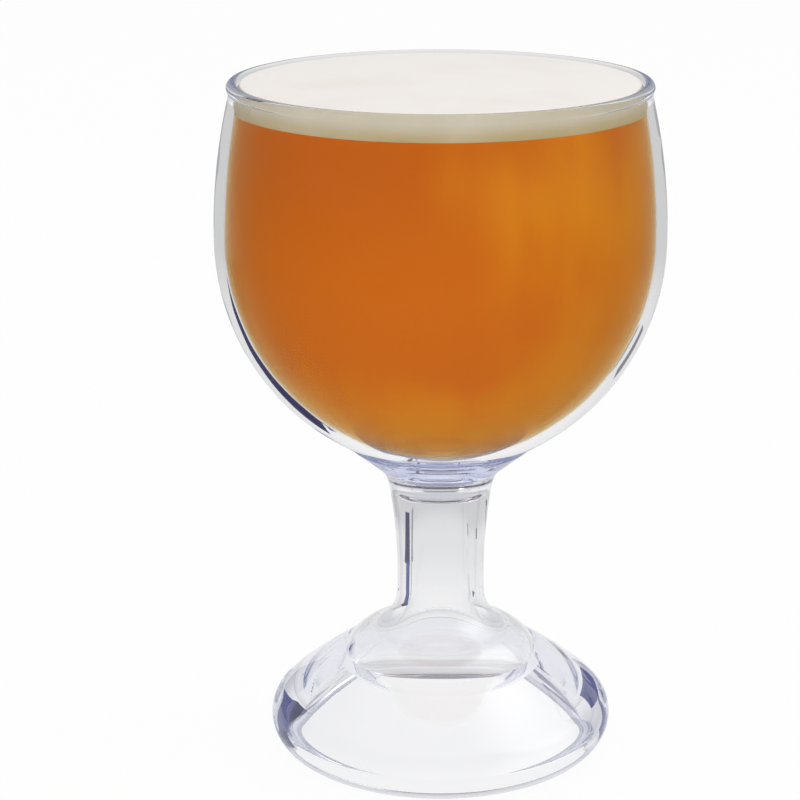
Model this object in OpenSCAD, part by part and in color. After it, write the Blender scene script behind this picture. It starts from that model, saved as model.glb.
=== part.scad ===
// Footed schooner glass in clear plastic: a blow-moulded bowl bonded to a hollow moulded pedestal.
// Millimetres, +Z up. The origin is on the table, on the axis of the glass.

/* [Bowl] */
// Height from the table to the top of the lip
glass_h = 168.7; // [164:0.1:176]
// Largest outside diameter of the bowl
belly_d = 109; // [106:1:112]
// Height of the largest diameter above the table
belly_z = 130.7; // [129.7:0.1:134]
// Radius of the curve below the belly
lower_curve = 57.4; // [56.4:0.2:59]
// Radius of the curve above the belly
upper_curve = 144; // [130:2:170]
// Thickness of the bowl's wall below the belly
bowl_wall = 2.2; // [1.8:0.1:3]
// Radius of the flat floor inside the bowl
floor_r = 6; // [4:0.5:8]

/* [Lip] */
// Thickness of the rounded lip
lip_t = 2.7; // [2.3:0.1:3]
// How far the lip stands out from the neck below it
lip_flare = 0.4; // [0.2:0.1:0.8]
// Depth of the neck below the top of the lip
neck_drop = 3.6; // [3:0.2:5]

/* [Joint] */
// Outside diameter of the saucer that carries the bowl
saucer_d = 44.8; // [40:0.4:48]
// Height of the saucer's outer edge
saucer_edge = 0.55; // [0.3:0.05:0.8]
// Clearance between the bowl and the saucer
seat_gap = 0.15; // [0.1:0.05:0.2]
// Diameter of the flat boss under the bowl
boss_d = 18; // [17:0.5:20]
// Diameter of the spigot under the boss
spigot_d = 8.8; // [8:0.2:9.6]
// Length of the spigot
spigot_h = 4; // [3:0.5:5]
// Inside diameter of the bond ring
bond_inner_d = 12; // [11:0.5:13]
// Outside diameter of the bond ring
bond_outer_d = 16; // [15:0.5:16.5]
// Depth of the bond ring's groove in the saucer
groove_h = 0.6; // [0.4:0.1:0.8]

/* [Stem] */
// Outside diameter at the stem's waist
waist_d = 21.7; // [20:0.1:24]
// Height of the waist above the table
waist_z = 45.5; // [44:0.1:48]
// Radius of the stem's long curve above the waist
stem_curve = 128; // [110:2:150]
// Slope of the saucer's underside
saucer_slope = 39; // [36:1:42]
// Radius where the stem runs out into the saucer
saucer_fillet = 7.9; // [6:0.1:9]
// Diameter of the core hole at its top
core_top_d = 13.8; // [12.8:0.2:14.6]
// Diameter of the core hole where it opens into the foot
core_low_d = 15; // [14:0.2:15.6]
// Height of the core hole's top
core_z = 66.6; // [62:0.2:67.4]
// Rounding at the core hole's top
core_round = 1.2; // [0.6:0.2:2.4]

/* [Foot] */
// Largest diameter of the foot
foot_d = 86; // [84:0.5:88]
// Radius of the foot's rounded edge
edge_r = 7.75; // [7.25:0.25:8.25]
// Radius of the skirt's curve
skirt_curve = 99; // [90:1:120]
// Diameter of the step ring between the dome and the skirt
step_d = 51; // [49:0.5:53]
// Height of the step ring
step_z = 24.3; // [23.7:0.1:25.1]
// Width of the step
step_w = 1.2; // [0.8:0.1:1.4]
// Radius of the small dome above the step
dome_curve = 12; // [11:0.5:13]
// Slope of the dome at the step
dome_slope = 63; // [58:1:66]
// Radius where the stem runs out into the dome
foot_fillet = 10.6; // [9:0.2:12]
// Outside diameter of the ring that stands on the table
ring_d = 74.8; // [74:0.2:76]
// Diameter of the hollow at the table
hollow_d = 72; // [69:0.5:73]
// Height where the hollow's wall meets the underside of the skirt
wall_z = 5.2; // [4:0.2:6]
// Radius of the underside of the skirt
inner_curve = 120; // [90:5:160]
// Thickness of the skirt at the step
skirt_t = 5.2; // [4.6:0.1:5.3]
// Thickness of the dome
dome_t = 2; // [1.7:0.1:2.5]
// Radius where the hollow's wall turns under the skirt
hollow_fillet = 1; // [0.6:0.2:2]
// Radius where the core hole runs out into the hollow
core_fillet = 12; // [10:0.5:13]

/* [Hidden] */
clear_plastic = [0.93, 0.95, 0.98, 0.35];
bond_tint = [0.62, 0.66, 0.86, 0.6];
// Angle between two points on an arc
arc_step = 4;
// Chamfer on the spigot's end and rise of the step
spigot_chamfer = 0.5;
step_rise = 0.2;
// Clearances of the spigot in its socket
socket_side = 0.1;
socket_end = 0.2;

// A point at a distance from a centre, along an angle
function polar(c, r, a) = c + r * [cos(a), sin(a)];
// The angle of a point seen from a centre
function bearing(c, p) = atan2(p[1] - c[1], p[0] - c[0]);
// Points along an arc, both ends included
function arc(c, r, a0, a1) =
    let (n = max(2, ceil(abs(a1 - a0) / arc_step)))
    [for (i = [0 : n]) polar(c, r, a0 + (a1 - a0) * i / n)];
// Height on the upper or lower half of a circle at a radius from the axis
function circle_z(c, r, x, side) = c[1] + side * sqrt(r * r - pow(x - c[0], 2));
// The crossing of two circles that lies to the left of the line from the first centre to the second
function crossing(c1, r1, c2, r2) =
    let (d = norm(c2 - c1), turn = acos((d * d + r1 * r1 - r2 * r2) / (2 * d * r1)))
    polar(c1, r1, bearing(c1, c2) + turn);

// Bowl: lower and upper curves meet at the belly with the same tangent
belly_r = belly_d / 2;
lower_c = [belly_r - lower_curve, belly_z];
upper_c = [belly_r - upper_curve, belly_z];
boss_r = boss_d / 2;
spigot_r = spigot_d / 2;
boss_z = circle_z(lower_c, lower_curve, 0, -1);
boss_top = [boss_r, circle_z(lower_c, lower_curve, boss_r, -1)];
neck_z = glass_h - neck_drop;
neck_a = asin((neck_z - belly_z) / upper_curve);
neck = polar(upper_c, upper_curve, neck_a);
lip_r = lip_t / 2;
lip_c = [neck[0] + lip_flare - lip_r, glass_h - lip_r];
lip_a = -50;
// Inside of the bowl: its upper curve ends under the lip and is tangent at the belly
inner_r = belly_r - bowl_wall;
inner_lower = lower_curve - bowl_wall;
mouth = [lip_c[0] - lip_r, lip_c[1]];
mouth_rise = mouth[1] - belly_z;
mouth_sag = inner_r - mouth[0];
inner_upper = (mouth_rise * mouth_rise + mouth_sag * mouth_sag) / (2 * mouth_sag);
inner_upper_c = [inner_r - inner_upper, belly_z];
floor_edge = [floor_r, circle_z(lower_c, inner_lower, floor_r, -1)];

// Saucer: its seat follows the bowl's lower curve at the clearance
saucer_r = saucer_d / 2;
seat_curve = lower_curve + seat_gap;
pocket_r = boss_r + seat_gap;
land_z = boss_z - seat_gap;
saucer_top = [saucer_r, circle_z(lower_c, seat_curve, saucer_r, -1)];
saucer_low = saucer_top - [0, saucer_edge];
pocket_top = [pocket_r, circle_z(lower_c, seat_curve, pocket_r, -1)];
socket_r = spigot_r + socket_side;
socket_z = boss_z - spigot_h - socket_end;
bond_inner_r = bond_inner_d / 2;
bond_outer_r = bond_outer_d / 2;
groove_z = land_z - groove_h;

// Stem: a long curve above the waist, then a fillet tangent to it and to the saucer's underside
waist_r = waist_d / 2;
stem_c = [waist_r + stem_curve, waist_z];
slope_u = [cos(saucer_slope), sin(saucer_slope)];
slope_n = [sin(saucer_slope), -cos(saucer_slope)];
fillet_0 = saucer_low + saucer_fillet * slope_n - stem_c;
fillet_b = fillet_0 * slope_u;
fillet_t = fillet_b + sqrt(fillet_b * fillet_b - fillet_0 * fillet_0 + pow(stem_curve - saucer_fillet, 2));
saucer_c = stem_c + fillet_0 - fillet_t * slope_u;
stem_top_a = bearing(stem_c, saucer_c);

// Foot: rounded edge, skirt tangent to it, step, dome, and a fillet tangent to the dome and the stem
ring_r = ring_d / 2;
edge_x = foot_d / 2 - edge_r;
edge_c = [edge_x, sqrt(edge_r * edge_r - pow(ring_r - edge_x, 2))];
step_low = [step_d / 2, step_z];
skirt_c = crossing(edge_c, skirt_curve - edge_r, step_low, skirt_curve);
edge_top_a = bearing(skirt_c, edge_c);
step_high = step_low + [-step_w, step_rise];
dome_c = polar(step_high, -dome_curve, 90 - dome_slope);
fillet_r = waist_r + foot_fillet;
fillet_c = [fillet_r, circle_z(dome_c, dome_curve + foot_fillet, fillet_r, 1)];
dome_top_a = bearing(dome_c, fillet_c);

// Hollow under the foot: a low wall, the underside of the skirt, the inside of the dome and the core hole
hollow_r = hollow_d / 2;
under_step = polar(skirt_c, skirt_curve - skirt_t, bearing(skirt_c, step_low));
under_c = crossing([hollow_r, wall_z], inner_curve, under_step, inner_curve);
inner_dome = dome_curve - dome_t;
wall_c = [hollow_r - hollow_fillet, circle_z(under_c, inner_curve - hollow_fillet, hollow_r - hollow_fillet, 1)];
wall_top_a = bearing(under_c, wall_c);
inner_step = crossing(dome_c, inner_dome, under_c, inner_curve);
core_low_r = core_low_d / 2;
core_top_r = core_top_d / 2;
core_c = [core_low_r + core_fillet,
          circle_z(dome_c, inner_dome + core_fillet, core_low_r + core_fillet, 1)];
inner_dome_a = bearing(dome_c, core_c);
core_end_c = [core_top_r - core_round, core_z - core_round];

// Outline of the bowl, from the spigot up the outside, over the lip and down the inside
bowl_outline = concat(
    [[0, boss_z - spigot_h],
     [spigot_r - spigot_chamfer, boss_z - spigot_h],
     [spigot_r, boss_z - spigot_h + spigot_chamfer],
     [spigot_r, boss_z],
     [boss_r, boss_z]],
    arc(lower_c, lower_curve, bearing(lower_c, boss_top), 0),
    arc(upper_c, upper_curve, arc_step / 2, neck_a),
    arc(lip_c, lip_r, lip_a, 180),
    arc(inner_upper_c, inner_upper, bearing(inner_upper_c, mouth) - arc_step / 4, 0),
    arc(lower_c, inner_lower, -arc_step, bearing(lower_c, floor_edge)),
    [[0, floor_edge[1]]]
);

// Outline of the pedestal's outside, from the table up to the saucer's edge
outside = concat(
    [[hollow_r, 0]],
    arc(edge_c, edge_r, bearing(edge_c, [ring_r, 0]), edge_top_a),
    arc(skirt_c, skirt_curve, edge_top_a + arc_step / 4, bearing(skirt_c, step_low)),
    arc(dome_c, dome_curve, 90 - dome_slope, dome_top_a),
    arc(fillet_c, foot_fillet, dome_top_a + 180 - arc_step, 180),
    arc(stem_c, stem_curve, 180, stem_top_a),
    arc(saucer_c, saucer_fillet, stem_top_a - arc_step, 90 + saucer_slope),
    [saucer_low]
);

// Outline of the seat, from the saucer's edge in to the axis
seat = concat(
    arc(lower_c, seat_curve, bearing(lower_c, saucer_top), bearing(lower_c, pocket_top)),
    [[pocket_r, land_z],
     [bond_outer_r, land_z],
     [bond_outer_r, groove_z],
     [bond_inner_r, groove_z],
     [bond_inner_r, land_z],
     [socket_r, land_z],
     [socket_r, socket_z],
     [0, socket_z]]
);

// Outline of the core hole and the hollow, from the axis down to the table
hollow = concat(
    [[0, core_z]],
    arc(core_end_c, core_round, 90, 0),
    arc(core_c, core_fillet, 180, inner_dome_a + 180),
    arc(dome_c, inner_dome, inner_dome_a - arc_step, bearing(dome_c, inner_step)),
    arc(under_c, inner_curve, bearing(under_c, inner_step) - arc_step / 4, wall_top_a),
    arc(wall_c, hollow_fillet, wall_top_a - arc_step, 0)
);

// Shell of revolution
module turned(outline) {
    rotate_extrude($fn = 180) polygon(outline);
}

// Blow-moulded bowl with its lip, boss and spigot
module bowl() {
    color(clear_plastic) turned(bowl_outline);
}

// Stem and foot in one moulding, hollow from below
module pedestal() {
    color(clear_plastic) turned(concat(outside, seat, hollow));
}

// Ring of bonding material between the boss and its groove in the saucer
module bond_ring() {
    color(bond_tint)
        turned([[bond_inner_r, groove_z], [bond_outer_r, groove_z],
                [bond_outer_r, boss_z], [bond_inner_r, boss_z]]);
}

bowl();
pedestal();
bond_ring();
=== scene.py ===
"""Dressed model of a clear plastic schooner glass, shown full, on a plain pale floor.

Sizes are in metres, with +Z up along the axis of the glass and the origin on the table.
"""

import logging
import math
from dataclasses import dataclass
from enum import Enum

import bpy
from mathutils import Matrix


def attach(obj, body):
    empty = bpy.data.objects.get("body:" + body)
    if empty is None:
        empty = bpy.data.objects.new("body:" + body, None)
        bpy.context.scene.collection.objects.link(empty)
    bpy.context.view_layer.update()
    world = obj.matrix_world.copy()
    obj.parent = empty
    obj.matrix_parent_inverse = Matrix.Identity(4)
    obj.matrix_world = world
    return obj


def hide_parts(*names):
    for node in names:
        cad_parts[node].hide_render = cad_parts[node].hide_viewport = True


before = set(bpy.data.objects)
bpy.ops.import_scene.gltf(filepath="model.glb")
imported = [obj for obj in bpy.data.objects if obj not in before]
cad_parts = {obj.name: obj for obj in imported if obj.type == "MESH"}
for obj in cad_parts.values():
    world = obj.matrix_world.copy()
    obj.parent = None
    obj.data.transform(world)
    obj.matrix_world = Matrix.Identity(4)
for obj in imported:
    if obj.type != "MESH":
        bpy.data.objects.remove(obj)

LOG = logging.getLogger("schooner")
Point = tuple[float, float]
Span = tuple[float, float]
Colour = tuple[float, float, float]
Place = tuple[float, float, float]

TURN_STEPS = 288
ARC_LENGTH = 0.0011
ARC_ANGLE = math.radians(6)
WELD = 1e-7
HAZE_SCALE = 60.0
HAZE_ZONE: Span = (0.45, 0.75)


class Slot(Enum):
    """Material slots of the record."""

    CLEAR_PLASTIC = "clear_plastic"
    BOND = "bond"


class Ray(Enum):
    """Kinds of ray that a shader can tell apart."""

    CAMERA = "Is Camera Ray"
    GLOSSY = "Is Glossy Ray"
    TRANSMISSION = "Is Transmission Ray"
    SHADOW = "Is Shadow Ray"


def polar(centre: Point, radius: float, angle: float) -> Point:
    """The point at a distance from a centre, along an angle in radians."""
    return (centre[0] + radius * math.cos(angle), centre[1] + radius * math.sin(angle))


def bearing(centre: Point, point: Point) -> float:
    """The angle of a point seen from a centre."""
    return math.atan2(point[1] - centre[1], point[0] - centre[0])


def circle_z(centre: Point, radius: float, r: float, side: int) -> float:
    """Height on the upper (1) or lower (-1) half of a circle at a distance from the axis."""
    return centre[1] + side * math.sqrt(radius**2 - (r - centre[0]) ** 2)


def circle_r(centre: Point, radius: float, z: float) -> float:
    """Distance from the axis on the outer half of a circle at a height."""
    return centre[0] + math.sqrt(radius**2 - (z - centre[1]) ** 2)


def crossing(first: Point, first_r: float, second: Point, second_r: float) -> Point:
    """The crossing of two circles to the left of the line from the first centre to the second."""
    gap = math.dist(first, second)
    turn = math.acos((gap**2 + first_r**2 - second_r**2) / (2 * gap * first_r))
    return polar(first, first_r, bearing(first, second) + turn)


class Lathe:
    """An outline in the XZ plane, drawn by extrudes and spins and then turned about Z."""

    def __init__(self, name: str, start: Point) -> None:
        """Put the pen on the start.

        Args:
            name: Name of the finished piece.
            start: Distance from the axis and height of the first point.
        """
        bpy.ops.object.select_all(action="DESELECT")
        bpy.ops.mesh.primitive_plane_add(size=0.001)
        self.piece = bpy.context.active_object
        self.piece.name = name
        self.piece.data.name = name
        bpy.ops.object.mode_set(mode="EDIT")
        bpy.ops.mesh.select_all(action="SELECT")
        bpy.ops.mesh.merge(type="CENTER")
        bpy.ops.transform.translate(value=(start[0], 0, start[1]))
        self.pen = start

    def line_to(self, point: Point) -> None:
        """Draw a straight line to a point."""
        step = (point[0] - self.pen[0], 0, point[1] - self.pen[1])
        bpy.ops.mesh.extrude_region_move(TRANSFORM_OT_translate={"value": step})
        self.pen = point

    def arc_to(self, centre: Point, angle: float) -> None:
        """Swing the pen about a centre, the short way, until it lies at an angle."""
        radius = math.dist(centre, self.pen)
        sweep = math.remainder(angle - bearing(centre, self.pen), math.tau)
        steps = max(2, math.ceil(abs(sweep) * radius / ARC_LENGTH), math.ceil(abs(sweep) / ARC_ANGLE))
        bpy.ops.mesh.spin(
            steps=steps,
            angle=sweep,
            center=(centre[0], 0, centre[1]),
            axis=(0, 1, 0),
            use_auto_merge=False,
        )
        self.pen = polar(centre, radius, angle)

    def turn(self, sharp: float = 35) -> bpy.types.Object:
        """Turn the outline about the axis into a closed skin.

        Args:
            sharp: Angle in degrees above which an edge stays sharp.

        Returns:
            The finished object, at the origin.
        """
        bpy.ops.mesh.select_all(action="SELECT")
        bpy.ops.mesh.spin(
            steps=TURN_STEPS,
            angle=math.tau,
            center=(0, 0, 0),
            axis=(0, 0, 1),
            use_auto_merge=True,
        )
        bpy.ops.mesh.select_all(action="SELECT")
        bpy.ops.mesh.remove_doubles(threshold=WELD)
        bpy.ops.mesh.normals_make_consistent(inside=False)
        bpy.ops.object.mode_set(mode="OBJECT")
        bpy.ops.object.shade_smooth_by_angle(angle=math.radians(sharp))
        return self.piece


class Canvas:
    """A node tree that is being wired."""

    def __init__(self, tree: bpy.types.NodeTree) -> None:
        """Start on an empty tree."""
        self.tree = tree
        self.tree.nodes.clear()

    def add(self, kind: str, inputs: dict | None = None, **settings) -> bpy.types.Node:
        """Add a node.

        Args:
            kind: Node type.
            inputs: Value or source socket of each input, by name or index.
            settings: Properties of the node.

        Returns:
            The new node.
        """
        node = self.tree.nodes.new(kind)
        for key, value in settings.items():
            setattr(node, key, value)
        for key, value in (inputs or {}).items():
            self.feed(node.inputs[key], value)
        return node

    def feed(self, socket: bpy.types.NodeSocket, value) -> None:
        """Set a socket to a value, or link it to another socket."""
        if isinstance(value, bpy.types.NodeSocket):
            self.tree.links.new(value, socket)
        else:
            socket.default_value = value

    def smooth(self, value, low: float, high: float, start: float = 0, end: float = 1):
        """A smooth step of a value from low to high, as a socket."""
        node = self.add(
            "ShaderNodeMapRange",
            {"Value": value, "From Min": low, "From Max": high, "To Min": start, "To Max": end},
            interpolation_type="SMOOTHSTEP",
        )
        return node.outputs["Result"]

    def mix(self, factor, first, second):
        """A colour between two, as a socket."""
        node = self.add("ShaderNodeMix", data_type="RGBA")
        for socket, value in zip((node.inputs[0], node.inputs[6], node.inputs[7]), (factor, first, second)):
            self.feed(socket, value)
        return node.outputs[2]

    def math(self, operation: str, first, second=0.0):
        """The result of an operation on two values, as a socket."""
        return self.add("ShaderNodeMath", {0: first, 1: second}, operation=operation).outputs[0]

    def seen(self, *kinds: Ray):
        """A factor that is 1 for these kinds of ray, as a socket."""
        path = self.add("ShaderNodeLightPath")
        factor = path.outputs[kinds[0].value]
        for kind in kinds[1:]:
            factor = self.math("MAXIMUM", factor, path.outputs[kind.value])
        return factor


def new_material(name: str) -> tuple[bpy.types.Material, Canvas]:
    """A material with an empty node tree, and the canvas on it."""
    material = bpy.data.materials.new(name)
    material.use_nodes = True
    return material, Canvas(material.node_tree)


def rgba(colour: Colour) -> tuple[float, float, float, float]:
    """A colour with full opacity."""
    return (*colour, 1.0)


def moulded_group() -> bpy.types.NodeTree:
    """The slow waviness and faint haze of moulded plastic, as a node group."""
    name = "moulded_surface"
    if name in bpy.data.node_groups:
        return bpy.data.node_groups[name]
    group = bpy.data.node_groups.new(name, "ShaderNodeTree")
    group.interface.new_socket("Wave Scale", in_out="INPUT", socket_type="NodeSocketFloat")
    group.interface.new_socket("Haze", in_out="INPUT", socket_type="NodeSocketFloat")
    group.interface.new_socket("Height", in_out="OUTPUT", socket_type="NodeSocketFloat")
    group.interface.new_socket("Roughness", in_out="OUTPUT", socket_type="NodeSocketFloat")
    canvas = Canvas(group)
    given = canvas.add("NodeGroupInput")
    place = canvas.add("ShaderNodeTexCoord").outputs["Object"]
    wave = canvas.add(
        "ShaderNodeTexNoise",
        {"Vector": place, "Scale": given.outputs["Wave Scale"], "Detail": 1.0},
    )
    cloud = canvas.add("ShaderNodeTexNoise", {"Vector": place, "Scale": HAZE_SCALE, "Detail": 3.0})
    patch = canvas.smooth(cloud.outputs["Fac"], *HAZE_ZONE)
    haze = canvas.math("MULTIPLY", patch, given.outputs["Haze"])
    canvas.add("NodeGroupOutput", {"Height": wave.outputs["Fac"], "Roughness": haze})
    return group


@dataclass(frozen=True)
class ClearPlastic:
    """Clear moulded plastic that lamps shine through, with a painted grey glow for rays trapped inside it.
    """

    name: str
    tint: Colour = (0.985, 0.985, 0.985)
    body: Colour = (0.3, 0.36, 0.72)
    density: float = 4.5
    ior: float = 1.55
    wave_scale: float = 60.0
    wave_height: float = 0.00006
    haze: float = 0.02
    gleam: float = 0.8
    mirror_zone: Span = (0.9, 0.99)
    veil: Colour = (0.93, 0.94, 0.97)
    # Painted light: grey glow given to rays that bounce too long inside the plastic.
    painted_trapped_light: Colour = (0.44, 0.45, 0.45)
    trap_depth: float = 14.0

    def colour(self, canvas: Canvas):
        """The colour that the surface lets through, the same all over."""
        return rgba(self.tint)

    def build(self) -> bpy.types.Material:
        """Wire the material."""
        material, canvas = new_material(self.name)
        surface = canvas.add("ShaderNodeGroup", node_tree=moulded_group())
        surface.inputs["Wave Scale"].default_value = self.wave_scale
        surface.inputs["Haze"].default_value = self.haze
        bump = canvas.add(
            "ShaderNodeBump",
            {"Height": surface.outputs["Height"], "Strength": 1.0, "Distance": self.wave_height},
        )
        plastic = canvas.add(
            "ShaderNodeBsdfPrincipled",
            {
                "Base Color": self.colour(canvas),
                "Roughness": surface.outputs["Roughness"],
                "IOR": self.ior,
                "Transmission Weight": 1.0,
                "Normal": bump.outputs["Normal"],
            },
        )
        bare = canvas.add(
            "ShaderNodeBsdfRefraction",
            {
                "Color": self.colour(canvas),
                "Roughness": surface.outputs["Roughness"],
                "IOR": self.ior,
                "Normal": bump.outputs["Normal"],
            },
        )
        mirror = canvas.add("ShaderNodeFresnel", {"IOR": self.ior, "Normal": bump.outputs["Normal"]})
        keep = canvas.smooth(mirror.outputs[0], *self.mirror_zone, self.gleam, 1.0)
        skin = canvas.add("ShaderNodeMixShader", {0: keep, 1: bare.outputs[0], 2: plastic.outputs[0]})
        veil = canvas.add("ShaderNodeBsdfTransparent", {"Color": rgba(self.veil)})
        shader = canvas.add(
            "ShaderNodeMixShader",
            {0: canvas.seen(Ray.SHADOW), 1: skin.outputs[0], 2: veil.outputs[0]},
        )
        # Painted light: rays still bouncing past trap_depth glow grey instead of going dark.
        turns = canvas.add("ShaderNodeLightPath").outputs["Ray Depth"]
        lost = canvas.math("GREATER_THAN", turns, self.trap_depth)
        glow = canvas.add("ShaderNodeEmission", {"Color": rgba(self.painted_trapped_light), "Strength": 1.0})
        shader = canvas.add(
            "ShaderNodeMixShader",
            {0: lost, 1: shader.outputs[0], 2: glow.outputs[0]},
        )
        body = canvas.add(
            "ShaderNodeVolumeAbsorption",
            {"Color": rgba(self.body), "Density": self.density},
        )
        canvas.add(
            "ShaderNodeOutputMaterial",
            {"Surface": shader.outputs[0], "Volume": body.outputs[0]},
        )
        return material


@dataclass(frozen=True)
class FilmedPlastic(ClearPlastic):
    """Clear plastic with a thin film of bluish bond on the seat of its saucer."""

    film: Colour = (0.66, 0.7, 0.95)
    film_zone: Span = (0.0726, 0.0736)

    def colour(self, canvas: Canvas):
        """The colour that the surface lets through, bluer on the seat, as a socket."""
        place = canvas.add("ShaderNodeTexCoord").outputs["Object"]
        height = canvas.add("ShaderNodeSeparateXYZ", {0: place}).outputs["Z"]
        seat = canvas.smooth(height, *self.film_zone)
        return canvas.mix(seat, rgba(self.tint), rgba(self.film))


@dataclass(frozen=True)
class Ale:
    """Hazy amber drink that thins out to clear where it is looked at edge on."""

    name: str = "amber_drink"
    amber: Colour = (0.6, 0.135, 0.005)
    deep: Colour = (0.54, 0.112, 0.005)
    deep_zone: Span = (0.13, 0.16)
    gold: Colour = (0.7, 0.23, 0.006)
    gold_zone: Span = (0.62, 1.1)
    pale: Colour = (0.72, 0.58, 0.36)
    pale_zone: Span = (0.0768, 0.0825)
    # Painted light: the drink is lighter and more golden low in the bowl.
    painted_light_low_zone: Span = (0.085, 0.12)
    painted_light_low_gain: float = 0.42
    # Painted light: gain that makes the drink lighter and more golden towards +X, the side the key lamp is
    # on.
    painted_light_side_gain: float = 4.0
    streak_scale: float = 110.0
    streak_stretch: float = 0.15
    streak_gain: float = 0.35
    cloud_scale: float = 22.0
    roughness: float = 0.3
    ior: float = 1.1
    depth: float = 2.9
    stain: Colour = (0.05, 0.5, 2.8)

    def shade(self, canvas: Canvas):
        """The liquid's colour as a socket: amber, deeper at the top, with gold swirls, painted light that
        turns it gold towards +X and low down, and a pale base.
        """
        place = canvas.add("ShaderNodeTexCoord").outputs["Object"]
        stretch = (1.0, 1.0, self.streak_stretch)
        tall = canvas.add("ShaderNodeMapping", {"Vector": place, "Scale": stretch})
        streak = canvas.add(
            "ShaderNodeTexNoise",
            {"Vector": tall.outputs[0], "Scale": self.streak_scale, "Detail": 4.0},
        )
        cloud = canvas.add(
            "ShaderNodeTexNoise",
            {"Vector": place, "Scale": self.cloud_scale, "Detail": 2.0},
        )
        axes = canvas.add("ShaderNodeSeparateXYZ", {0: place})
        height = axes.outputs["Z"]
        swirl_and_painted_light = canvas.math("MULTIPLY", streak.outputs["Fac"], self.streak_gain)
        swirl_and_painted_light = canvas.math("ADD", swirl_and_painted_light, cloud.outputs["Fac"])
        # Painted light: the drink turns lighter and more golden towards +X, the side the key lamp is on.
        swirl_and_painted_light = canvas.math("ADD", swirl_and_painted_light, canvas.math("MULTIPLY", axes.outputs["X"], self.painted_light_side_gain))
        # Painted light: the drink turns lighter and more golden low in the bowl.
        painted_light_low = canvas.smooth(height, *self.painted_light_low_zone, self.painted_light_low_gain, 0.0)
        swirl_and_painted_light = canvas.math("ADD", swirl_and_painted_light, painted_light_low)
        upper = canvas.mix(canvas.smooth(height, *self.deep_zone), rgba(self.amber), rgba(self.deep))
        body = canvas.mix(canvas.smooth(swirl_and_painted_light, *self.gold_zone), upper, rgba(self.gold))
        base = canvas.smooth(height, *self.pale_zone, 1.0, 0.0)
        return canvas.mix(base, body, rgba(self.pale))

    def build(self) -> bpy.types.Material:
        """Wire the material."""
        material, canvas = new_material(self.name)
        liquid = canvas.add(
            "ShaderNodeBsdfPrincipled",
            {"Base Color": self.shade(canvas), "Roughness": self.roughness, "IOR": self.ior},
        )
        facing = canvas.add("ShaderNodeLayerWeight", {"Blend": 0.5}).outputs["Facing"]
        path = canvas.math("SUBTRACT", 1.0, facing)
        thin = canvas.math("POWER", math.exp(-self.depth), path)
        dye = [canvas.math("POWER", math.exp(-strength), path) for strength in self.stain]
        gold = canvas.add("ShaderNodeCombineColor", {"Red": dye[0], "Green": dye[1], "Blue": dye[2]})
        clear = canvas.add("ShaderNodeBsdfTransparent", {"Color": gold.outputs[0]})
        shader = canvas.add(
            "ShaderNodeMixShader",
            {0: thin, 1: liquid.outputs[0], 2: clear.outputs[0]},
        )
        canvas.add("ShaderNodeOutputMaterial", {"Surface": shader.outputs[0]})
        return material


@dataclass(frozen=True)
class Froth:
    """Fine cream froth, greyer down its side with painted shade and warmer there with the drink's tint."""

    name: str = "cream_froth"
    top: Colour = (0.91, 0.87, 0.83)
    # side and low: painted shade on the froth's side, with the drink's warm tint low down.
    side: Colour = (0.56, 0.5, 0.36)
    low: Colour = (0.43, 0.33, 0.15)
    fleck: Colour = (0.78, 0.72, 0.6)
    fleck_scale: float = 45.0
    fleck_zone: Span = (0.4, 0.75)
    fleck_share: float = 0.25
    cap_depth: float = 0.0004
    side_depth: float = 0.0015
    cell_scale: float = 900.0
    cell_height: float = 0.0002
    cell_strength: float = 0.35
    roughness: float = 0.55

    def build(self, level: float, crown: float) -> bpy.types.Material:
        """Wire the material.

        Args:
            level: Height of the froth's lower edge.
            crown: Height of its top.

        Returns:
            The material.
        """
        material, canvas = new_material(self.name)
        place = canvas.add("ShaderNodeTexCoord").outputs["Object"]
        height = canvas.add("ShaderNodeSeparateXYZ", {0: place}).outputs["Z"]
        rise = canvas.smooth(height, level, crown - self.side_depth)
        cap = canvas.smooth(height, crown - self.cap_depth, crown)
        cells = canvas.add(
            "ShaderNodeTexVoronoi",
            {"Vector": place, "Scale": self.cell_scale},
            feature="SMOOTH_F1",
        )
        cloud = canvas.add(
            "ShaderNodeTexNoise",
            {"Vector": place, "Scale": self.fleck_scale, "Detail": 4.0},
        )
        # Painted shade: the side darkens from the top down, and is warmed by the drink's tint low down.
        tinted_and_shaded_flank = canvas.mix(rise, rgba(self.low), rgba(self.side))
        skin = canvas.mix(cap, tinted_and_shaded_flank, rgba(self.top))
        flecks = canvas.smooth(cloud.outputs["Fac"], *self.fleck_zone, 0, self.fleck_share)
        shade = canvas.mix(flecks, skin, rgba(self.fleck))
        bump = canvas.add(
            "ShaderNodeBump",
            {
                "Height": cells.outputs["Distance"],
                "Strength": self.cell_strength,
                "Distance": self.cell_height,
            },
        )
        froth = canvas.add(
            "ShaderNodeBsdfPrincipled",
            {"Base Color": shade, "Roughness": self.roughness, "Normal": bump.outputs["Normal"]},
        )
        canvas.add("ShaderNodeOutputMaterial", {"Surface": froth.outputs[0]})
        return material


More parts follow.
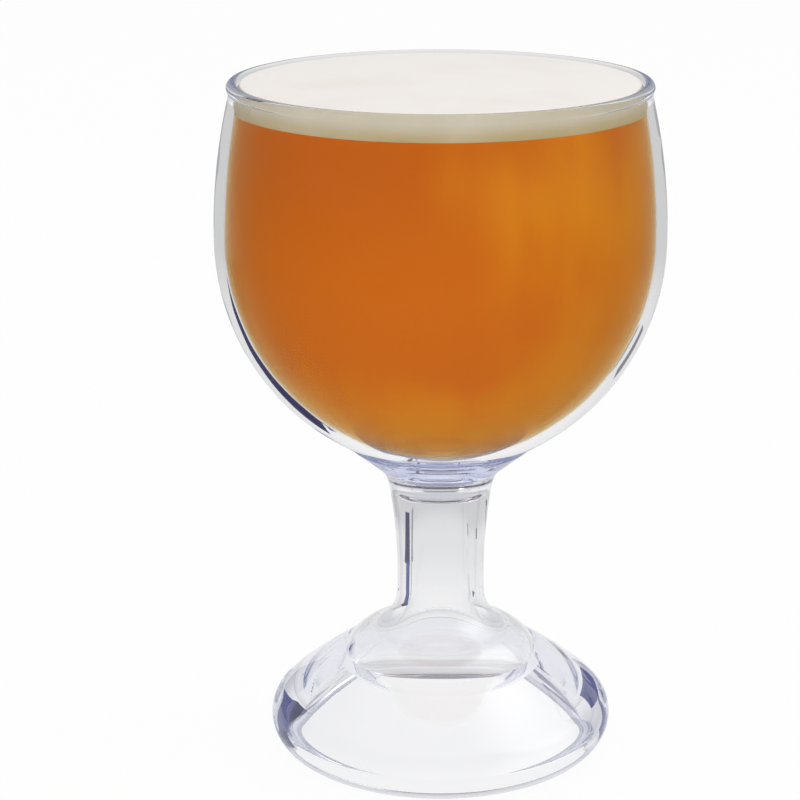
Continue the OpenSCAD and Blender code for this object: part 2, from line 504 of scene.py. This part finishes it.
@dataclass
class Bowl:
    """Blow-moulded bowl with its lip, boss and spigot."""

    height: float = 0.1687
    belly_r: float = 0.0545
    belly_z: float = 0.1307
    lower_curve: float = 0.0574
    upper_curve: float = 0.144
    wall: float = 0.0022
    floor_r: float = 0.006
    lip_r: float = 0.00135
    lip_flare: float = 0.0004
    neck_drop: float = 0.0036
    lip_angle: float = math.radians(-50)
    boss_r: float = 0.009
    spigot_r: float = 0.0044
    spigot_h: float = 0.004
    spigot_chamfer: float = 0.0005

    def __post_init__(self) -> None:
        """Work out the centres and joining points of the curves."""
        self.lower_c = (self.belly_r - self.lower_curve, self.belly_z)
        self.upper_c = (self.belly_r - self.upper_curve, self.belly_z)
        self.boss_z = circle_z(self.lower_c, self.lower_curve, 0, -1)
        self.neck_angle = math.asin((self.height - self.neck_drop - self.belly_z) / self.upper_curve)
        neck = polar(self.upper_c, self.upper_curve, self.neck_angle)
        self.lip_c = (neck[0] + self.lip_flare - self.lip_r, self.height - self.lip_r)
        self.inner_r = self.belly_r - self.wall
        self.inner_lower = self.lower_curve - self.wall
        rise = self.lip_c[1] - self.belly_z
        sag = self.inner_r - (self.lip_c[0] - self.lip_r)
        self.inner_upper = (rise**2 + sag**2) / (2 * sag)
        self.inner_upper_c = (self.inner_r - self.inner_upper, self.belly_z)
        self.floor_z = circle_z(self.lower_c, self.inner_lower, self.floor_r, -1)

    def build(self, finish: ClearPlastic) -> bpy.types.Object:
        """Turn the bowl and dress it."""
        end_z = self.boss_z - self.spigot_h
        pen = Lathe("bowl_shell", (0, end_z))
        pen.line_to((self.spigot_r - self.spigot_chamfer, end_z))
        pen.line_to((self.spigot_r, end_z + self.spigot_chamfer))
        pen.line_to((self.spigot_r, self.boss_z))
        pen.line_to((self.boss_r, self.boss_z))
        pen.line_to((self.boss_r, circle_z(self.lower_c, self.lower_curve, self.boss_r, -1)))
        pen.arc_to(self.lower_c, 0)
        pen.arc_to(self.upper_c, self.neck_angle)
        pen.line_to(polar(self.lip_c, self.lip_r, self.lip_angle))
        pen.arc_to(self.lip_c, math.pi / 2)
        pen.arc_to(self.lip_c, math.pi)
        pen.arc_to(self.inner_upper_c, 0)
        pen.arc_to(self.lower_c, bearing(self.lower_c, (self.floor_r, self.floor_z)))
        pen.line_to((0, self.floor_z))
        shell = pen.turn()
        shell.data.materials.append(finish.build())
        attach(shell, "root")
        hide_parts("bowl")
        return shell


@dataclass
class Pedestal:
    """Stem and foot in one moulding, hollow from below, with a saucer for the bowl."""

    bowl: Bowl
    saucer_r: float = 0.0224
    saucer_edge: float = 0.00055
    seat_gap: float = 0.00015
    socket_side: float = 0.0001
    socket_end: float = 0.0002
    bond_inner_r: float = 0.006
    bond_outer_r: float = 0.008
    groove_h: float = 0.0006
    waist_r: float = 0.01085
    waist_z: float = 0.0455
    stem_curve: float = 0.128
    saucer_slope: float = math.radians(39)
    saucer_fillet: float = 0.0079
    core_top_r: float = 0.0069
    core_low_r: float = 0.0075
    core_z: float = 0.0666
    core_round: float = 0.0012
    foot_r: float = 0.043
    edge_r: float = 0.00775
    skirt_curve: float = 0.099
    step_r: float = 0.0255
    step_z: float = 0.0243
    step_w: float = 0.0012
    step_rise: float = 0.0002
    dome_curve: float = 0.012
    dome_slope: float = math.radians(63)
    foot_fillet: float = 0.0106
    ring_r: float = 0.0374
    hollow_r: float = 0.036
    wall_z: float = 0.0052
    inner_curve: float = 0.12
    skirt_t: float = 0.0052
    dome_t: float = 0.002
    hollow_fillet: float = 0.001
    core_fillet: float = 0.012
    stipple_inset: float = 0.25
    stipple_h: float = 0.00035
    stipple_start: float = math.radians(150)
    stipple_end: float = math.radians(226)

    def __post_init__(self) -> None:
        """Work out the centres and joining points of the curves."""
        bowl = self.bowl
        self.seat_curve = bowl.lower_curve + self.seat_gap
        self.pocket_r = bowl.boss_r + self.seat_gap
        self.land_z = bowl.boss_z - self.seat_gap
        self.groove_z = self.land_z - self.groove_h
        self.saucer_top = (self.saucer_r, circle_z(bowl.lower_c, self.seat_curve, self.saucer_r, -1))
        self.saucer_low = (self.saucer_r, self.saucer_top[1] - self.saucer_edge)
        self.stem_c = (self.waist_r + self.stem_curve, self.waist_z)
        self.saucer_c = self.saucer_centre()
        edge_x = self.foot_r - self.edge_r
        self.edge_c = (edge_x, math.sqrt(self.edge_r**2 - (self.ring_r - edge_x) ** 2))
        step_low = (self.step_r, self.step_z)
        self.skirt_c = crossing(self.edge_c, self.skirt_curve - self.edge_r, step_low, self.skirt_curve)
        self.step_high = (self.step_r - self.step_w, self.step_z + self.step_rise)
        self.dome_c = polar(self.step_high, -self.dome_curve, math.pi / 2 - self.dome_slope)
        fillet_r = self.waist_r + self.foot_fillet
        self.fillet_c = (fillet_r, circle_z(self.dome_c, self.dome_curve + self.foot_fillet, fillet_r, 1))
        under = polar(self.skirt_c, self.skirt_curve - self.skirt_t, bearing(self.skirt_c, step_low))
        corner = (self.hollow_r, self.wall_z)
        self.under_c = crossing(corner, self.inner_curve, under, self.inner_curve)
        wall_r = self.hollow_r - self.hollow_fillet
        self.wall_c = (wall_r, circle_z(self.under_c, self.inner_curve - self.hollow_fillet, wall_r, 1))
        self.inner_dome = self.dome_curve - self.dome_t
        self.inner_step = crossing(self.dome_c, self.inner_dome, self.under_c, self.inner_curve)
        core_r = self.core_low_r + self.core_fillet
        self.core_c = (core_r, circle_z(self.dome_c, self.inner_dome + self.core_fillet, core_r, 1))

    def saucer_centre(self) -> Point:
        """Centre of the fillet that is tangent to the stem's curve and to the saucer's underside."""
        along = (math.cos(self.saucer_slope), math.sin(self.saucer_slope))
        away = (along[1], -along[0])
        start = tuple(
            low + self.saucer_fillet * side - stem
            for low, side, stem in zip(self.saucer_low, away, self.stem_c)
        )
        run = start[0] * along[0] + start[1] * along[1]
        reach = self.stem_curve - self.saucer_fillet
        back = run + math.sqrt(run**2 - start[0] ** 2 - start[1] ** 2 + reach**2)
        return (
            self.stem_c[0] + start[0] - back * along[0],
            self.stem_c[1] + start[1] - back * along[1],
        )

    def build(self, finish: ClearPlastic) -> bpy.types.Object:
        """Turn the pedestal, press the stipple into its ring and dress it."""
        pen = Lathe("pedestal_moulding", (0, self.core_z))
        self.draw_hollow(pen)
        self.draw_outside(pen)
        self.draw_seat(pen)
        moulding = pen.turn()
        self.stipple(moulding)
        moulding.data.materials.append(finish.build())
        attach(moulding, "root")
        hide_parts("pedestal")
        return moulding

    def draw_hollow(self, pen: Lathe) -> None:
        """Draw the core hole and the hollow, from the axis down to the table."""
        core_end = (self.core_top_r - self.core_round, self.core_z - self.core_round)
        pen.line_to((core_end[0], self.core_z))
        pen.arc_to(core_end, 0)
        pen.line_to((self.core_low_r, self.core_c[1]))
        pen.arc_to(self.core_c, bearing(self.core_c, self.dome_c))
        pen.arc_to(self.dome_c, bearing(self.dome_c, self.inner_step))
        pen.arc_to(self.under_c, bearing(self.under_c, self.wall_c))
        pen.arc_to(self.wall_c, 0)
        pen.line_to((self.hollow_r, 0))

    def draw_outside(self, pen: Lathe) -> None:
        """Draw the ring on the table, the foot, the stem and the saucer's underside."""
        inset = self.stipple_inset * (self.ring_r - self.hollow_r)
        pen.line_to((self.hollow_r + inset, 0))
        pen.line_to((self.ring_r - inset, 0))
        pen.line_to((self.ring_r, 0))
        pen.arc_to(self.edge_c, bearing(self.skirt_c, self.edge_c))
        pen.arc_to(self.skirt_c, bearing(self.skirt_c, (self.step_r, self.step_z)))
        pen.line_to(self.step_high)
        pen.arc_to(self.dome_c, bearing(self.dome_c, self.fillet_c))
        pen.arc_to(self.fillet_c, math.pi)
        pen.line_to((self.waist_r, self.waist_z))
        pen.arc_to(self.stem_c, bearing(self.stem_c, self.saucer_c))
        pen.arc_to(self.saucer_c, math.pi / 2 + self.saucer_slope)
        pen.line_to(self.saucer_low)

    def draw_seat(self, pen: Lathe) -> None:
        """Draw the saucer's seat with its groove and socket, in to the axis."""
        bowl = self.bowl
        socket_r = bowl.spigot_r + self.socket_side
        socket_z = bowl.boss_z - bowl.spigot_h - self.socket_end
        pocket_z = circle_z(bowl.lower_c, self.seat_curve, self.pocket_r, -1)
        pen.line_to(self.saucer_top)
        pen.arc_to(bowl.lower_c, bearing(bowl.lower_c, (self.pocket_r, pocket_z)))
        pen.line_to((self.pocket_r, self.land_z))
        pen.line_to((self.bond_outer_r, self.land_z))
        pen.line_to((self.bond_outer_r, self.groove_z))
        pen.line_to((self.bond_inner_r, self.groove_z))
        pen.line_to((self.bond_inner_r, self.land_z))
        pen.line_to((socket_r, self.land_z))
        pen.line_to((socket_r, socket_z))
        pen.line_to((0, socket_z))

    def stipple(self, moulding: bpy.types.Object) -> None:
        """Raise every other point along one side of the ring that stands on the table."""
        edge = self.stipple_inset * (self.ring_r - self.hollow_r) / 2
        low = self.hollow_r + edge
        high = self.ring_r - edge
        pitch = math.tau / TURN_STEPS
        bpy.ops.object.mode_set(mode="EDIT")
        bpy.ops.mesh.select_mode(type="VERT")
        bpy.ops.mesh.select_all(action="DESELECT")
        bpy.ops.object.mode_set(mode="OBJECT")
        for vertex in moulding.data.vertices:
            reach = math.hypot(vertex.co.x, vertex.co.y)
            angle = math.atan2(vertex.co.y, vertex.co.x) % math.tau
            marked = self.stipple_start < angle < self.stipple_end and round(angle / pitch) % 2 == 0
            vertex.select = marked and abs(vertex.co.z) < WELD and low < reach < high
        bpy.ops.object.mode_set(mode="EDIT")
        bpy.ops.transform.translate(value=(0, 0, self.stipple_h))
        bpy.ops.object.mode_set(mode="OBJECT")


@dataclass
class BondRing:
    """Ring of clear bonding material between the bowl's boss and the saucer's groove."""

    pedestal: Pedestal
    hair: float = 0.00003

    def build(self, finish: ClearPlastic) -> bpy.types.Object:
        """Turn the ring, a hair clear of what it bonds, and dress it."""
        inner = self.pedestal.bond_inner_r + self.hair
        outer = self.pedestal.bond_outer_r - self.hair
        low = self.pedestal.groove_z + self.hair
        high = self.pedestal.bowl.boss_z - self.hair
        pen = Lathe("bond_bead", (inner, low))
        pen.line_to((outer, low))
        pen.line_to((outer, high))
        pen.line_to((inner, high))
        pen.line_to((inner, low))
        bead = pen.turn()
        bead.data.materials.append(finish.build())
        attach(bead, "root")
        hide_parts("bond_ring")
        return bead


@dataclass
class Filling:
    """The drink and its froth, a hair clear of the bowl's inside."""

    bowl: Bowl
    gap: float = 0.0003
    level: float = 0.1622
    crown: float = 0.1682
    shoulder: float = 0.0006
    dome_curve: float = 2.0
    brow: float = 0.02
    seam: float = 0.00003

    def build_drink(self, finish: Ale) -> bpy.types.Object:
        """Turn the drink and dress it."""
        bowl = self.bowl
        curve = bowl.inner_lower - self.gap
        floor_z = circle_z(bowl.lower_c, curve, bowl.floor_r, -1)
        upper = bowl.inner_upper - self.gap
        rim_r = circle_r(bowl.inner_upper_c, upper, self.level)
        pen = Lathe("drink", (0, floor_z))
        pen.line_to((bowl.floor_r, floor_z))
        pen.arc_to(bowl.lower_c, 0)
        pen.arc_to(bowl.inner_upper_c, bearing(bowl.inner_upper_c, (rim_r, self.level)))
        pen.line_to((0, self.level))
        drink = pen.turn()
        drink.data.materials.append(finish.build())
        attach(drink, "root")
        return drink

    def build_froth(self, finish: Froth) -> bpy.types.Object:
        """Turn the froth with a rounded shoulder and a low dome, and dress it."""
        bowl = self.bowl
        low = self.level + self.seam
        upper = bowl.inner_upper - self.gap
        rim_r = circle_r(bowl.inner_upper_c, upper, low)
        shoulder_z = self.crown - self.shoulder
        shoulder_r = circle_r(bowl.inner_upper_c, upper, shoulder_z)
        shoulder_c = (shoulder_r - self.shoulder, shoulder_z)
        pen = Lathe("froth", (0, low))
        pen.line_to((rim_r, low))
        pen.arc_to(bowl.inner_upper_c, bearing(bowl.inner_upper_c, (shoulder_r, shoulder_z)))
        pen.arc_to(shoulder_c, math.pi / 2 - self.brow)
        dome_c = (0, pen.pen[1] - math.sqrt(self.dome_curve**2 - pen.pen[0] ** 2))
        pen.arc_to(dome_c, math.pi / 2)
        froth = pen.turn()
        froth.data.materials.append(finish.build(self.level, self.crown))
        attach(froth, "root")
        return froth


@dataclass(frozen=True)
class Lamp:
    """A soft square lamp, which lights the glass but does not show in it."""

    name: str
    place: Place
    aim: Place
    size: float
    watts: float

    def build(self) -> None:
        """Hang the lamp and turn it to its aim."""
        bpy.ops.object.light_add(type="AREA", location=self.place)
        lamp = bpy.context.active_object
        lamp.name = self.name
        lamp.data.size = self.size
        lamp.data.energy = self.watts
        lamp.visible_glossy = False
        lamp.visible_transmission = False
        across = (self.aim[0] - self.place[0], self.aim[1] - self.place[1])
        tilt = math.atan2(math.hypot(*across), self.place[2] - self.aim[2])
        lamp.rotation_euler = (tilt, 0, math.atan2(-across[0], across[1]))


@dataclass(frozen=True)
class Card:
    """A dark card beside the glass, which only shows in the plastic, to draw its edges."""

    name: str
    shade: Colour
    corners: tuple[Place, Place, Place, Place]

    def build(self) -> None:
        """Hang the card."""
        bpy.ops.object.select_all(action="DESELECT")
        bpy.ops.mesh.primitive_plane_add(size=1)
        card = bpy.context.active_object
        card.name = self.name
        for index, corner in zip(card.data.polygons[0].vertices, self.corners):
            card.data.vertices[index].co = corner
        material, canvas = new_material(self.name)
        paint = canvas.add("ShaderNodeEmission", {"Color": rgba(self.shade), "Strength": 1.0})
        canvas.add("ShaderNodeOutputMaterial", {"Surface": paint.outputs[0]})
        card.data.materials.append(material)
        card.visible_camera = False
        card.visible_diffuse = False
        card.visible_shadow = False


LAMPS = (
    Lamp("key", place=(0.63, 0.05, 0.8), aim=(0, 0, 0.05), size=0.55, watts=1.5),
    Lamp("fill", place=(-0.14, -1.09, 0.05), aim=(0, 0, 0.1), size=0.9, watts=16.5),
)
CARDS = (
    Card(
        "left_card",
        (0.05, 0.05, 0.11),
        ((-0.048, 0.0575, 0.03), (-0.31, 0.326, 0.03), (-0.404, 0.197, 0.03), (-0.0695, 0.028, 0.03)),
    ),
    Card(
        "left_drop",
        (0.1, 0.11, 0.26),
        ((-0.05, 0.042, 0.033), (-0.05, 0.042, 0.014), (-0.066, 0.028, 0.014), (-0.066, 0.028, 0.033)),
    ),
    Card(
        "right_card",
        (0.1, 0.1, 0.19),
        ((0.054, 0.014, 0.022), (0.09, 0.02, 0.022), (0.096, 0.006, 0.022), (0.056, 0.004, 0.022)),
    ),
    Card(
        "right_drop",
        (0.1, 0.11, 0.26),
        ((0.044, 0.044, 0.0145), (0.044, 0.044, 0.006), (0.066, 0.033, 0.006), (0.066, 0.033, 0.0195)),
    ),
    Card(
        "bowl_card",
        (0.22, 0.22, 0.25),
        ((0.09, 0.12, 0.03), (0.132, 0.176, 0.03), (0.15, 0.161, 0.03), (0.102, 0.11, 0.03)),
    ),
)


@dataclass
class Studio:
    """Floor, surroundings, cards, lamps and camera."""

    floor_size: float = 6.0
    floor_z: float = -0.0003
    floor_tone: Colour = (0.93, 0.93, 0.93)
    floor_share: float = 0.93
    # Painted light: the floor's glow as seen in the plastic, falling off with distance from the glass.
    near_glow: float = 0.955
    mid_glow: float = 0.79
    far_loss: float = 0.17
    near_zone: Span = (0.02, 0.22)
    far_zone: Span = (0.25, 0.6)
    ambient: float = 0.8
    white: Colour = (1.0, 1.0, 1.0)
    white_zone: Span = (0.7, 0.9)
    horizon: Colour = (0.72, 0.72, 0.74)
    sides: Colour = (0.92, 0.92, 0.93)
    side_zone: Span = (0.3, 0.5)
    ceiling: Colour = (0.6, 0.6, 0.63)
    rise_zone: Span = (0.0, 0.5)
    soft: Colour = (2.2, 2.2, 2.2)
    soft_way: Place = (0.64, 0.1, 0.76)
    soft_zone: Span = (0.8, 0.98)
    camera_place: Place = (0, -0.553, 0.2545)
    camera_dip: float = math.radians(16.62)
    camera_lens: float = 105.4
    camera_sensor: float = 36
    camera_shift: float = -0.0507
    camera_clip: float = 0.01
    bounces: int = 40
    glossy_bounces: int = 20
    clear_bounces: int = 16

    def build_floor(self) -> bpy.types.Object:
        """Lay the pale floor, which shows white, keeps a soft shadow and shows a painted pool of light in
        reflections.
        """
        bpy.ops.object.select_all(action="DESELECT")
        bpy.ops.mesh.primitive_plane_add(size=self.floor_size)
        floor = bpy.context.active_object
        floor.name = "floor"
        bpy.ops.object.mode_set(mode="EDIT")
        bpy.ops.transform.translate(value=(0, 0, self.floor_z))
        bpy.ops.object.mode_set(mode="OBJECT")
        material, canvas = new_material("pale_floor")
        matt = canvas.add("ShaderNodeBsdfDiffuse", {"Color": rgba(self.floor_tone)})
        place = canvas.add("ShaderNodeTexCoord").outputs["Object"]
        reach = canvas.add("ShaderNodeVectorMath", {0: place}, operation="LENGTH").outputs["Value"]
        # Painted light: in reflections and through the plastic the floor glows brightest near the glass and
        # dimmer further out.
        fall = canvas.smooth(reach, *self.near_zone, self.near_glow, self.mid_glow)
        fall = canvas.math("SUBTRACT", fall, canvas.smooth(reach, *self.far_zone, 0.0, self.far_loss))
        level = canvas.math("MAXIMUM", canvas.seen(Ray.CAMERA), fall)
        glow = canvas.add("ShaderNodeEmission", {"Color": rgba(self.white), "Strength": level})
        seen = canvas.seen(Ray.CAMERA, Ray.GLOSSY, Ray.TRANSMISSION)
        shader = canvas.add(
            "ShaderNodeMixShader",
            {0: canvas.math("MULTIPLY", seen, self.floor_share), 1: matt.outputs[0], 2: glow.outputs[0]},
        )
        canvas.add("ShaderNodeOutputMaterial", {"Surface": shader.outputs[0]})
        floor.data.materials.append(material)
        return floor

    def build_world(self) -> None:
        """Set the surroundings: grey walls, paler at the sides, a white ceiling and one soft window."""
        world = bpy.data.worlds.new("studio")
        world.use_nodes = True
        bpy.context.scene.world = world
        canvas = Canvas(world.node_tree)
        way = canvas.add("ShaderNodeTexCoord").outputs["Generated"]
        axes = canvas.add("ShaderNodeSeparateXYZ", {0: way})
        rise = canvas.smooth(axes.outputs["Z"], *self.rise_zone)
        aside = canvas.smooth(canvas.math("ABSOLUTE", axes.outputs["X"]), *self.side_zone)
        back = canvas.mix(aside, rgba(self.horizon), rgba(self.sides))
        wall = canvas.mix(rise, back, rgba(self.ceiling))
        above = canvas.smooth(axes.outputs["Z"], *self.white_zone)
        room = canvas.mix(above, wall, rgba(self.white))
        turned = canvas.add("ShaderNodeVectorMath", {0: way, 1: self.soft_way}, operation="DOT_PRODUCT")
        soft = canvas.smooth(turned.outputs["Value"], *self.soft_zone)
        room = canvas.mix(soft, room, rgba(self.soft))
        room = canvas.mix(canvas.seen(Ray.CAMERA), room, rgba(self.white))
        shown = canvas.add("ShaderNodeBackground", {"Color": room, "Strength": 1.0})
        light = canvas.add("ShaderNodeBackground", {"Color": rgba(self.white), "Strength": self.ambient})
        seen = canvas.seen(Ray.CAMERA, Ray.GLOSSY, Ray.TRANSMISSION)
        shader = canvas.add(
            "ShaderNodeMixShader",
            {0: seen, 1: light.outputs[0], 2: shown.outputs[0]},
        )
        canvas.add("ShaderNodeOutputWorld", {"Surface": shader.outputs[0]})

    def build_camera(self) -> None:
        """Set the camera where the photograph was taken from."""
        bpy.ops.object.camera_add(location=self.camera_place)
        camera = bpy.context.active_object
        camera.rotation_euler = (math.pi / 2 - self.camera_dip, 0, 0)
        camera.data.sensor_width = self.camera_sensor
        camera.data.lens = self.camera_lens
        camera.data.shift_x = self.camera_shift
        camera.data.clip_start = self.camera_clip
        bpy.context.scene.camera = camera

    def build(self) -> None:
        """Set the whole studio up."""
        self.build_floor()
        self.build_world()
        for thing in (*CARDS, *LAMPS):
            thing.build()
        self.build_camera()
        scene = bpy.context.scene
        scene.view_settings.view_transform = "Standard"
        scene.cycles.max_bounces = self.bounces
        scene.cycles.transmission_bounces = self.bounces
        scene.cycles.glossy_bounces = self.glossy_bounces
        scene.cycles.transparent_max_bounces = self.clear_bounces


def main() -> None:
    """Build the glass piece by piece, fill it and set up the studio."""
    logging.basicConfig(level=logging.INFO, format="%(name)s: %(message)s")
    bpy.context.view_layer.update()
    bowl = Bowl()
    pedestal = Pedestal(bowl)
    filling = Filling(bowl)
    pieces = [
        bowl.build(ClearPlastic("clear_bowl", gleam=0.08)),
        pedestal.build(FilmedPlastic("clear_pedestal")),
        BondRing(pedestal).build(ClearPlastic("clear_bond", tint=(0.7, 0.74, 0.92), ior=1.5)),
        filling.build_drink(Ale()),
        filling.build_froth(Froth()),
    ]
    for piece in pieces:
        LOG.info("%s: %d faces", piece.name, len(piece.data.polygons))
    Studio().build()


if __name__ == "__main__":
    main()
